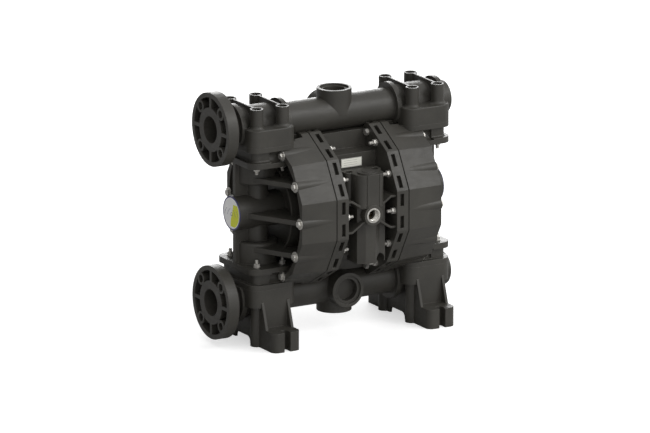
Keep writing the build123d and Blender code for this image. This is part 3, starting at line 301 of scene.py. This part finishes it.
# %% Rubber and white plastics
def rubber(name, colour):
    """Dull rubber with dust and a pebbled skin."""
    finish, graph, shader, place = new_finish(name)
    dust = noise(graph, place, 70.0, 5.0, 0.65)
    pebble = add_node(graph, "ShaderNodeTexVoronoi", {"Vector": place, "Scale": 1800.0}).outputs["Distance"]
    cover = spread(graph, dust, 0.0, 1.0, 0.42, 0.72)
    graph.links.new(mix_colours(graph, cover, colour, shade(colour, 1.0, 0.018)), shader.inputs["Base Color"])
    graph.links.new(spread(graph, dust, 0.55, 0.75, 0.3, 0.7), shader.inputs["Roughness"])
    graph.links.new(bump(graph, pebble, 0.00006, 0.4), shader.inputs["Normal"])
    print("finish", name)
    return finish


def pale_plastic(name, colour):
    """Smooth pale plastic that lets a little light in."""
    finish, graph, shader, place = new_finish(name)
    clouds = noise(graph, place, 45.0, 4.0)
    grain = noise(graph, place, 1500.0, 2.0)
    cloudy = spread(graph, clouds, 0.0, 1.0, 0.35, 0.65)
    graph.links.new(mix_colours(graph, cloudy, shade(colour, 0.88), colour), shader.inputs["Base Color"])
    graph.links.new(spread(graph, clouds, 0.32, 0.46, 0.3, 0.7), shader.inputs["Roughness"])
    edges, rounded = edge_mask(graph, 0.0006)
    graph.links.new(bump(graph, grain, 0.00003, 0.4, rounded), shader.inputs["Normal"])
    shader.inputs["Subsurface Weight"].default_value = 0.1
    shader.inputs["Subsurface Radius"].default_value = (0.003, 0.002, 0.0015)
    print("finish", name)
    return finish


diaphragm_finish = rubber("diaphragm_rubber", (0.012, 0.012, 0.012, 1.0))
seal_finish = rubber("seal_rubber", (0.016, 0.015, 0.015, 1.0))
ball_finish = pale_plastic("ball_elastomer", (0.70, 0.68, 0.62, 1.0))
seat_finish = pale_plastic("seat_plastic", (0.76, 0.75, 0.71, 1.0))
bush_finish = pale_plastic("bush_plastic", (0.30, 0.25, 0.18, 1.0))

# %% [markdown]
# ## Dress the solids
# Each solid's slots take the finish that its piece has on the real pump.

# %% Finishes on the solids
FINISHES = {
    "casting_plastic": casting,
    "stainless": stainless,
    "diaphragm_rubber": diaphragm_finish,
    "seal_rubber": seal_finish,
    "pale_metal": pale_turned,
    "ball_elastomer": ball_finish,
    "seat_plastic": seat_finish,
    "cage_plastic": cage_finish,
    "bush_plastic": bush_finish,
    "cap_plastic": cap_finish,
    "sleeve_brass": shade_darkened_brass,
}
SPECIAL = {"diaphragm_shaft": shaft_finish, "air_valve_spool": spool_finish,
           "suction_manifold": foot_casting, "left_foot": foot_casting, "right_foot": foot_casting}
slot_of = {row["node"]: row["material_slot"] for row in frame["record"]["subparts"]}


def wear(piece, finish):
    """Puts one finish on every slot of a piece."""
    if not piece.material_slots:
        piece.data.materials.append(finish)
    for slot in piece.material_slots:
        slot.material = finish


for node, solid in frame["nodes"].items():
    finish = SPECIAL.get(node) or FINISHES.get(slot_of[node])
    if finish:
        wear(solid, finish)
print("dressed", len(frame["nodes"]), "solids")

# %% [markdown]
# ## The badge and the rating label
# Each hub's end carries a round printed badge: white at the left and yellow-green at the lower
# right, inside a dark blue rim. The print here is a plain pattern of its own: a wave divides the
# two fields, and a few slim arcs cross it. The rating label is a white film with a thin grey
# frame, ruled into empty rows. Both are drawn by nodes from the distance to the piece's middle,
# so no picture is needed, and a smooth step keeps each line's edge crisp.

# %% Printed films
WAVES = 60.0
WAVE_DEPTH = 0.006
FIELDS_MEET = 0.002
GREEN_RISE = (-0.030, 0.021)
ARCS = 520.0
ARC_RISE = (-0.006, 0.009)
RIM_WIDTH = 0.0032
BORDER_WIDTH = 0.0050
RULES = 1250.0
FRAME_WIDTH = 0.0016


def plane_place(graph, place, middle, across, up):
    """Coordinates on a flat print: metres across and up from its middle."""
    centred = add_node(graph, "ShaderNodeVectorMath", {0: place, 1: middle}, operation="SUBTRACT").outputs[0]
    found = []
    for direction in (across, up):
        node = add_node(graph, "ShaderNodeVectorMath", {0: centred, 1: direction}, operation="DOT_PRODUCT")
        found.append(node.outputs["Value"])
    return found


def step(graph, value, level, soft=0.00025):
    """0 below a level and 1 above it, with a soft edge."""
    return spread(graph, value, 0.0, 1.0, level - soft, level + soft)


def band(graph, value, low, high, soft=0.0002):
    """1 between two levels and 0 outside them."""
    below = maths(graph, "SUBTRACT", 1.0, step(graph, value, high, soft))
    return maths(graph, "MULTIPLY", step(graph, value, low, soft), below)


def printed_film(graph, shader, colour, place):
    """Wires a print's colour to a glossy film with faint scuffs."""
    scuffs = noise(graph, place, 900.0, 4.0, 0.7)
    ink = mix_colours(graph, spread(graph, scuffs, 0.0, 0.10, 0.55, 0.75), colour, (0.25, 0.25, 0.24, 1.0))
    graph.links.new(ink, shader.inputs["Base Color"])
    graph.links.new(spread(graph, scuffs, 0.22, 0.38, 0.3, 0.7), shader.inputs["Roughness"])
    graph.links.new(bump(graph, scuffs, 0.00002, 0.3), shader.inputs["Normal"])


def badge_print(name, middle, across, radius):
    """A round print in white and yellow-green inside a dark blue rim."""
    finish, graph, shader, place = new_finish(name)
    x, z = plane_place(graph, place, middle, across, (0.0, 0.0, 1.0))
    distance = maths(graph, "SQRT", maths(graph, "ADD", maths(graph, "MULTIPLY", x, x),
                                          maths(graph, "MULTIPLY", z, z)))
    wave = maths(graph, "SINE", maths(graph, "MULTIPLY", z, WAVES))
    divide = maths(graph, "ADD", x, maths(graph, "MULTIPLY", wave, -WAVE_DEPTH))
    green_side = maths(graph, "MULTIPLY", step(graph, divide, FIELDS_MEET), band(graph, z, *GREEN_RISE))
    field = mix_colours(graph, green_side, paint(252, 252, 252), paint(226, 230, 20))
    tilted = maths(graph, "ADD", distance, maths(graph, "MULTIPLY", z, 0.5))
    arcs = maths(graph, "SINE", maths(graph, "MULTIPLY", tilted, ARCS))
    slim = maths(graph, "MULTIPLY", step(graph, arcs, 0.93, 0.04), band(graph, z, *ARC_RISE))
    drawn = mix_colours(graph, maths(graph, "MULTIPLY", slim, 0.8), field, paint(58, 58, 104))
    edge = maths(graph, "SUBTRACT", 1.0, band(graph, distance, -1.0, radius - RIM_WIDTH))
    border = band(graph, distance, radius - BORDER_WIDTH, radius - RIM_WIDTH)
    rimmed = mix_colours(graph, border, drawn, paint(252, 252, 252))
    printed_film(graph, shader, mix_colours(graph, edge, rimmed, paint(62, 60, 112)), place)
    print("finish", name)
    return finish


def label_print(name, middle, across, half_long, half_tall):
    """A white label with a thin grey frame and ruled rows."""
    finish, graph, shader, place = new_finish(name)
    x, z = plane_place(graph, place, middle, across, (0.0, 0.0, 1.0))
    rows = maths(graph, "SINE", maths(graph, "MULTIPLY", maths(graph, "ADD", z, 0.0012), RULES))
    inside_x = band(graph, x, -half_long + 0.006, half_long - 0.012)
    inside_z = band(graph, z, -half_tall + 0.004, half_tall - 0.003)
    inside = maths(graph, "MULTIPLY", inside_x, inside_z)
    rules = maths(graph, "MULTIPLY", step(graph, rows, 0.88, 0.05), inside)
    paper = mix_colours(graph, maths(graph, "MULTIPLY", rules, 0.55), paint(252, 251, 240), paint(96, 96, 92))
    frame_x = maths(graph, "SUBTRACT", 1.0, band(graph, x, FRAME_WIDTH - half_long, half_long - FRAME_WIDTH))
    frame_z = maths(graph, "SUBTRACT", 1.0, band(graph, z, FRAME_WIDTH - half_tall, half_tall - FRAME_WIDTH))
    framed = mix_colours(graph, maths(graph, "MULTIPLY", maths(graph, "MAXIMUM", frame_x, frame_z), 0.5),
                         paper, paint(150, 150, 146))
    printed_film(graph, shader, framed, place)
    print("finish", name)
    return finish


def middle_of(node):
    """The middle of a solid's box and its half size."""
    low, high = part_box(node)
    return (low + high) / 2, (high - low) / 2


for node, across in (("left_hub_badge", (0.0, -1.0, 0.0)), ("right_hub_badge", (0.0, 1.0, 0.0))):
    middle, half = middle_of(node)
    SPECIAL[node] = badge_print(node + "_print", middle, across, half.z)
middle, half = middle_of("rating_plate")
SPECIAL["rating_plate"] = label_print("rating_label_print", middle, (1.0, 0.0, 0.0), half.x, half.z)

for node in ("left_hub_badge", "right_hub_badge", "rating_plate"):
    wear(frame["nodes"][node], SPECIAL[node])

# %% [markdown]
# ## The studio
# A pale floor and soft light. The camera sees pure white behind the pump and on the floor. The
# light itself comes from a sky that is bright at the front right and dim at the left, as between
# a white wall and an open door, so that the sides of the black castings differ in tone and their
# shapes read. Metal mirrors that same sky. Three soft lamps add the key light, a low light from
# behind that skims the level faces, and a little fill.

# %% Floor
FLOOR_SIZE = 40.0
FLOOR_BOUNCE = (0.50, 0.50, 0.50, 1.0)
FLOOR_GLOW = 0.58
WHITE = (1.0, 1.0, 1.0, 1.0)


def stage_floor():
    """A wide floor that the camera sees nearly white and whose bounced light is dimmer."""
    mesh = bmesh.new()
    bmesh.ops.create_grid(mesh, x_segments=1, y_segments=1, size=FLOOR_SIZE / 2)
    data = bpy.data.meshes.new("studio_floor")
    mesh.to_mesh(data)
    mesh.free()
    floor = bpy.data.objects.new("studio_floor", data)
    bpy.context.scene.collection.objects.link(floor)
    finish, graph, shader, place = new_finish("floor_paper")
    path = add_node(graph, "ShaderNodeLightPath")
    mottle = spread(graph, noise(graph, place, 3.0, 2.0), 0.78, 0.82)
    tone = mix_colours(graph, path.outputs["Is Camera Ray"], FLOOR_BOUNCE, mottle)
    graph.links.new(tone, shader.inputs["Base Color"])
    shader.inputs["Roughness"].default_value = 0.9
    output = next(n for n in graph.nodes if n.type == "OUTPUT_MATERIAL")
    glow = add_node(graph, "ShaderNodeEmission", {"Color": WHITE, "Strength": FLOOR_GLOW})
    lit = add_node(graph, "ShaderNodeAddShader", {0: shader.outputs[0], 1: glow.outputs[0]})
    seen = add_node(graph, "ShaderNodeMixShader",
                    {0: path.outputs["Is Camera Ray"], 1: shader.outputs[0], 2: lit.outputs[0]})
    clear = add_node(graph, "ShaderNodeBsdfTransparent")
    under = add_node(graph, "ShaderNodeNewGeometry").outputs["Backfacing"]
    below = maths(graph, "MULTIPLY", under, path.outputs["Is Camera Ray"])
    final = add_node(graph, "ShaderNodeMixShader", {0: below, 1: seen.outputs[0], 2: clear.outputs[0]})
    graph.links.new(final.outputs[0], output.inputs["Surface"])
    data.materials.append(finish)
    return floor


stage_floor()
print("floor", FLOOR_SIZE, "m wide")

# %% Sky
BRIGHT_SIDE = Vector((0.62, -0.60, 0.50)).normalized()
SKY_LOW = 0.10
SKY_HIGH = 0.95
MIRROR_LOW = 0.22
MIRROR_HIGH = 1.0

sky = bpy.data.worlds.new("studio_sky")
bpy.context.scene.world = sky
sky.use_nodes = True
sky_graph = sky.node_tree
sky_graph.nodes.clear()
sky_out = sky_graph.nodes.new("ShaderNodeOutputWorld")
direction = sky_graph.nodes.new("ShaderNodeTexCoord").outputs["Generated"]
towards = add_node(sky_graph, "ShaderNodeVectorMath", {0: direction, 1: BRIGHT_SIDE}, operation="DOT_PRODUCT")
sky_path = sky_graph.nodes.new("ShaderNodeLightPath")
lit_by = spread(sky_graph, towards.outputs["Value"], SKY_LOW, SKY_HIGH, -0.55, 0.75)
mirrored = spread(sky_graph, towards.outputs["Value"], MIRROR_LOW, MIRROR_HIGH, -0.55, 0.75)
share = sky_path.outputs["Is Glossy Ray"]
strength = maths(sky_graph, "ADD", maths(sky_graph, "MULTIPLY", mirrored, share),
                 maths(sky_graph, "MULTIPLY", lit_by, maths(sky_graph, "SUBTRACT", 1.0, share)))
sky_seen = maths(sky_graph, "MAXIMUM", sky_path.outputs["Is Camera Ray"],
                 sky_path.outputs["Is Transmission Ray"])
soft = add_node(sky_graph, "ShaderNodeBackground", {"Color": WHITE, "Strength": strength})
white = add_node(sky_graph, "ShaderNodeBackground", {"Color": WHITE, "Strength": 1.0})
sky_mix = add_node(sky_graph, "ShaderNodeMixShader", {0: sky_seen, 1: soft.outputs[0], 2: white.outputs[0]})
sky_graph.links.new(sky_mix.outputs[0], sky_out.inputs["Surface"])
print("sky from", SKY_LOW, "to", SKY_HIGH)


# %% Lamps
def lamp(name, direction, distance, size, watts):
    """A square soft lamp that shines at the pump's middle and that the camera doesn't see."""
    data = bpy.data.lights.new(name, "AREA")
    data.shape = "SQUARE"
    data.size = size
    data.energy = watts
    lamp_object = bpy.data.objects.new(name, data)
    towards_lamp = Vector(direction).normalized()
    lamp_object.location = SHAFT_MIDDLE + towards_lamp * distance
    lamp_object.rotation_mode = "QUATERNION"
    lamp_object.rotation_quaternion = towards_lamp.to_track_quat("Z", "Y")
    lamp_object.visible_camera = False
    bpy.context.scene.collection.objects.link(lamp_object)
    print("lamp", name, watts, "W")
    return lamp_object


lamp("key_lamp", (0.48, -0.64, 0.60), 3.2, 1.5, 26.0)
lamp("skimming_lamp", (0.48, 0.84, 0.27), 4.0, 2.0, 80.0)
lamp("fill_lamp", (-0.20, -0.95, 0.10), 3.4, 2.2, 9.0)

# %% [markdown]
# ## Reading a group of solids
# Fasteners of one kind share a solid's node. To make each one again in detail, its place is read
# from a merged copy of the node's mesh: points that hang together by edges are one fastener.

# %% Islands of a node
WELD = 0.00002


def islands(node):
    """The separate solids of a node, each as a list of its points."""
    mesh = bmesh.new()
    mesh.from_mesh(frame["nodes"][node].data)
    bmesh.ops.remove_doubles(mesh, verts=mesh.verts, dist=WELD)
    mesh.verts.ensure_lookup_table()
    seen, found = set(), []
    for start in mesh.verts:
        if start.index in seen:
            continue
        seen.add(start.index)
        queue, points = [start], []
        while queue:
            corner = queue.pop()
            points.append(corner.co.copy())
            for edge in corner.link_edges:
                other = edge.other_vert(corner)
                if other.index not in seen:
                    seen.add(other.index)
                    queue.append(other)
        found.append(points)
    mesh.free()
    return found


def reach(points):
    """Lowest and highest corner of some points."""
    low = Vector([min(p[k] for p in points) for k in range(3)])
    high = Vector([max(p[k] for p in points) for k in range(3)])
    return low, high


# %% [markdown]
# ## Hexagon heads, nuts and threads
# A hexagon head is a six-sided prism turned down to a cone at its top, which leaves a curved edge
# on each flat. Here a hexagon's sides are divided, drawn up to the head's height, and each point
# of the top is then let down by how far it lies outside the flats' circle. A thread is a row of
# small ridges: rings spun round the axis are enough at this size, and they close without a seam.

# %% Hexagons and threads
SIDE_CUTS = 5
FACE_SHARE = 0.97
CONE = math.tan(math.radians(28))
ROD_STEPS = 20
BOLT_PITCH = 0.00125


def hexagon(mesh, flats, low, high, bore=0.0, both_ends=False):
    """A hexagon from low to high on Z, coned at its top, with a hole when bore is above 0."""
    face_circle = flats / 2 * FACE_SHARE

    def set_height(points, height, coned):
        """Puts points at a height, less where they lie outside the face's circle."""
        for point in points:
            outside = max(0.0, Vector(point.co[:2]).length - face_circle)
            point.co.z = height + coned * outside * CONE

    def draw_out(loop):
        """Draws a loop of edges out once more; returns the new loop and its points."""
        drawn = bmesh.ops.extrude_edge_only(mesh, edges=loop)["geom"]
        points = [g for g in drawn if isinstance(g, bmesh.types.BMVert)]
        found = [g for g in drawn if isinstance(g, bmesh.types.BMEdge) and all(v in points for v in g.verts)]
        return found, points

    def inset(loop, radius, height):
        """A new loop inside the given one, on a circle at a height."""
        inner, points = draw_out(loop)
        for point in points:
            flat = Vector(point.co[:2])
            flat = flat * (radius / flat.length)
            point.co = (flat.x, flat.y, height)
        return inner

    made = bmesh.ops.create_circle(mesh, cap_ends=False, segments=6, radius=flats / math.sqrt(3))
    sides = list(dict.fromkeys(edge for corner in made["verts"] for edge in corner.link_edges))
    cut = bmesh.ops.subdivide_edges(mesh, edges=sides, cuts=SIDE_CUTS)["geom"]
    bottom_loop = list(dict.fromkeys(g for g in cut if isinstance(g, bmesh.types.BMEdge)))
    set_height(dict.fromkeys(v for edge in bottom_loop for v in edge.verts), low, 1 if both_ends else 0)
    top_loop, top_points = draw_out(bottom_loop)
    set_height(top_points, high, -1)
    mouths = []
    for loop, height in ((top_loop, high), (bottom_loop, low)):
        face_loop = inset(loop, face_circle, height)
        if bore > 0:
            mouths += inset(face_loop, bore, height)
        else:
            bmesh.ops.edgeloop_fill(mesh, edges=face_loop)
    if mouths:
        bmesh.ops.bridge_loops(mesh, edges=mouths)


def turned(mesh, profile, steps=ROD_STEPS):
    """Spins a row of (radius, height) points about Z and joins the seam."""
    corners = [mesh.verts.new((radius, 0.0, height)) for radius, height in profile]
    edges = [mesh.edges.new(pair) for pair in zip(corners, corners[1:])]
    bmesh.ops.spin(mesh, geom=corners + edges, cent=(0, 0, 0), axis=(0, 0, 1),
                   angle=math.tau, steps=steps, use_merge=True)


def threaded_rod(mesh, radius, low, high, thread_to, pitch=BOLT_PITCH):
    """A rod along Z from low to high, whose end from low up to thread_to has a thread."""
    depth = pitch * 0.5
    profile = [(0.0, low), (radius - depth * 1.4, low)]
    height = low + pitch * 0.5
    while height + pitch < thread_to:
        profile += [(radius - depth, height), (radius, height + pitch * 0.45), (radius, height + pitch * 0.6)]
        height += pitch
    profile += [(radius - depth * 0.3, height), (radius - depth * 0.3, high), (0.0, high)]
    turned(mesh, profile)


def finish_piece(mesh, name, finish, body, nodes=()):
    """Turns a bmesh into a piece of the pump: merged, facing outwards, dressed and riding."""
    bmesh.ops.remove_doubles(mesh, verts=mesh.verts, dist=0.000005)
    bmesh.ops.recalc_face_normals(mesh, faces=mesh.faces)
    data = bpy.data.meshes.new(name)
    mesh.to_mesh(data)
    mesh.free()
    piece = bpy.data.objects.new(name, data)
    bpy.context.scene.collection.objects.link(piece)
    data.materials.append(finish)
    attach(piece, body)
    if nodes:
        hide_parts(*nodes)
    print("made", name, "with", len(data.polygons), "faces")
    return piece


def stand(mesh, since, place, direction, turn=0.0):
    """Moves what was made since a count of points from the Z axis to a place, along a direction."""
    mesh.verts.ensure_lookup_table()
    fresh = mesh.verts[since:]
    turned_to = Vector(direction).to_track_quat("Z", "Y").to_matrix().to_4x4()
    matrix = Matrix.Translation(place) @ turned_to @ Matrix.Rotation(turn, 4, "Z")
    bmesh.ops.transform(mesh, matrix=matrix, verts=fresh)


# %% [markdown]
# ## Bolts
# Each bolt's axis, head and end are measured on its solid, so the detailed bolt drops in its place.

# %% Bolts with heads and threads
SPANNER_SIZE = 0.013
BOLT_RADIUS = 0.004
NUT_BORE = 0.0041
THREAD_LENGTH = 0.026
THREAD_SHARE = 0.6
HEAD_MIN_RADIUS = 0.0055
FLAT_UP = math.radians(30)
GROUPS = ("left_casing", "right_casing", "discharge_manifold", "suction_manifold")


def bolt_facts(points):
    """The axis, the head's span and the far end of one bolt's solid."""
    low, high = reach(points)
    size = high - low
    axis = max(range(3), key=lambda k: size[k])
    others = [k for k in range(3) if k != axis]
    middle = (low + high) / 2
    wide = [p for p in points if math.hypot(*(p[k] - middle[k] for k in others)) > HEAD_MIN_RADIUS]
    head_low, head_high = min(p[axis] for p in wide), max(p[axis] for p in wide)
    head_first = abs(head_low - low[axis]) < abs(head_high - high[axis])
    return axis, middle, low[axis], high[axis], head_low, head_high, head_first


def detailed_bolts(node, flats, radius):
    """Makes each bolt of a node again, with a coned hexagon head and a threaded end."""
    mesh = bmesh.new()
    for points in islands(node):
        axis, middle, low, high, head_low, head_high, head_first = bolt_facts(points)
        direction = Vector((0, 0, 0))
        direction[axis] = -1.0 if head_first else 1.0
        since = len(mesh.verts)
        head = head_high - head_low
        length = high - low
        hexagon(mesh, flats, length - head, length)
        threaded_rod(mesh, radius, 0.0, length - head / 2, min(THREAD_LENGTH, length * THREAD_SHARE))
        foot = middle.copy()
        foot[axis] = high if head_first else low
        stand(mesh, since, foot, direction, FLAT_UP)
    return finish_piece(mesh, node + "_detailed", stainless, "pump_body", [node])


for group in GROUPS:
    detailed_bolts(group + "_bolts", SPANNER_SIZE, BOLT_RADIUS)

# %% [markdown]
# ## Nuts
# A nut is the same hexagon coned at both ends, with a hole for the bolt. Its axis is the one along
# which its solid is thinnest.

# %% Nuts
def detailed_nuts(node, flats, bore):
    """Makes each nut of a node again, coned at both ends."""
    mesh = bmesh.new()
    for points in islands(node):
        low, high = reach(points)
        size = high - low
        axis = min(range(3), key=lambda k: size[k])
        direction = Vector((0, 0, 0))
        direction[axis] = 1.0
        foot = (low + high) / 2
        foot[axis] = low[axis]
        since = len(mesh.verts)
        hexagon(mesh, flats, 0.0, size[axis], bore, True)
        stand(mesh, since, foot, direction, FLAT_UP)
    return finish_piece(mesh, node + "_detailed", stainless, "pump_body", [node])


for group in GROUPS:
    detailed_nuts(group + "_nuts", SPANNER_SIZE, NUT_BORE)

# %% [markdown]
# ## The air inlet's insert
# The pale insert in the middle of the front takes the air hose's fitting. One profile, spun round
# the inlet's axis, makes its outer wall, its chamfered mouth and the ridges of the pipe thread.

# %% Threaded insert
THREAD_CREST = 0.01206
THREAD_PITCH = 0.001814
THREAD_DEPTH = 0.00116
MOUTH_CHAMFER = 0.0006
INSERT_STEPS = 72


def threaded_insert(node):
    """The inlet's insert as one spun profile; its height runs from the back of the insert to the front."""
    outer = (insert_high.x - insert_low.x) / 2
    length = insert_high.y - insert_low.y
    root = THREAD_CREST + THREAD_DEPTH
    profile = [(outer, 0.0), (outer, length - MOUTH_CHAMFER), (outer - MOUTH_CHAMFER, length), (root, length)]
    height = length - THREAD_DEPTH
    while height - THREAD_PITCH > MOUTH_CHAMFER:
        profile += [(THREAD_CREST, height - THREAD_PITCH * 0.38), (THREAD_CREST, height - THREAD_PITCH * 0.5),
                    (root, height - THREAD_PITCH * 0.92)]
        height -= THREAD_PITCH
    profile += [(THREAD_CREST, 0.0), (outer, 0.0)]
    mesh = bmesh.new()
    turned(mesh, profile, INSERT_STEPS)
    stand(mesh, 0, Vector((insert_middle.x, insert_high.y, insert_middle.z)), (0, -1, 0))
    return finish_piece(mesh, node + "_threaded", pale_turned, "pump_body", [node])


threaded_insert("air_inlet_insert")

# %% [markdown]
# ## Diaphragms in slices
# Each diaphragm is clamped at its rim and carried by the shaft at its middle, so it bends when the
# shaft slides. Here a copy of it is cut like a cake into equal slices round the shaft, and the cuts
# of each slice are closed.

# %% Diaphragms
SLICES = 12


def rolling_diaphragm(node):
    """Cuts copies of a diaphragm into slices and closes the cuts."""
    for count in range(SLICES):
        mesh = bmesh.new()
        mesh.from_mesh(frame["nodes"][node].data)
        bmesh.ops.remove_doubles(mesh, verts=mesh.verts, dist=WELD)
        middle_angle = math.tau * (count + 0.5) / SLICES
        for side in (-1, 1):
            angle = middle_angle + side * math.pi / SLICES
            outwards = side * Vector((0.0, -math.sin(angle), math.cos(angle)))
            every = list(mesh.verts) + list(mesh.edges) + list(mesh.faces)
            bmesh.ops.bisect_plane(mesh, geom=every, dist=0.0000001, plane_co=SHAFT_MIDDLE,
                                   plane_no=outwards, clear_outer=True)
            bmesh.ops.holes_fill(mesh, edges=[e for e in mesh.edges if e.is_boundary], sides=0)
        bmesh.ops.triangulate(mesh, faces=[f for f in mesh.faces if len(f.verts) > 4])
        bmesh.ops.recalc_face_normals(mesh, faces=mesh.faces)
        data = bpy.data.meshes.new(f"{node}_slice_{count + 1:02d}")
        mesh.to_mesh(data)
        mesh.free()
        piece = bpy.data.objects.new(data.name, data)
        bpy.context.scene.collection.objects.link(piece)
        data.materials.append(diaphragm_finish)
        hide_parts(node)
        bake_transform(piece)
    print("made", SLICES, "slices of", node)


for node in ("left_diaphragm", "right_diaphragm"):
    rolling_diaphragm(node)
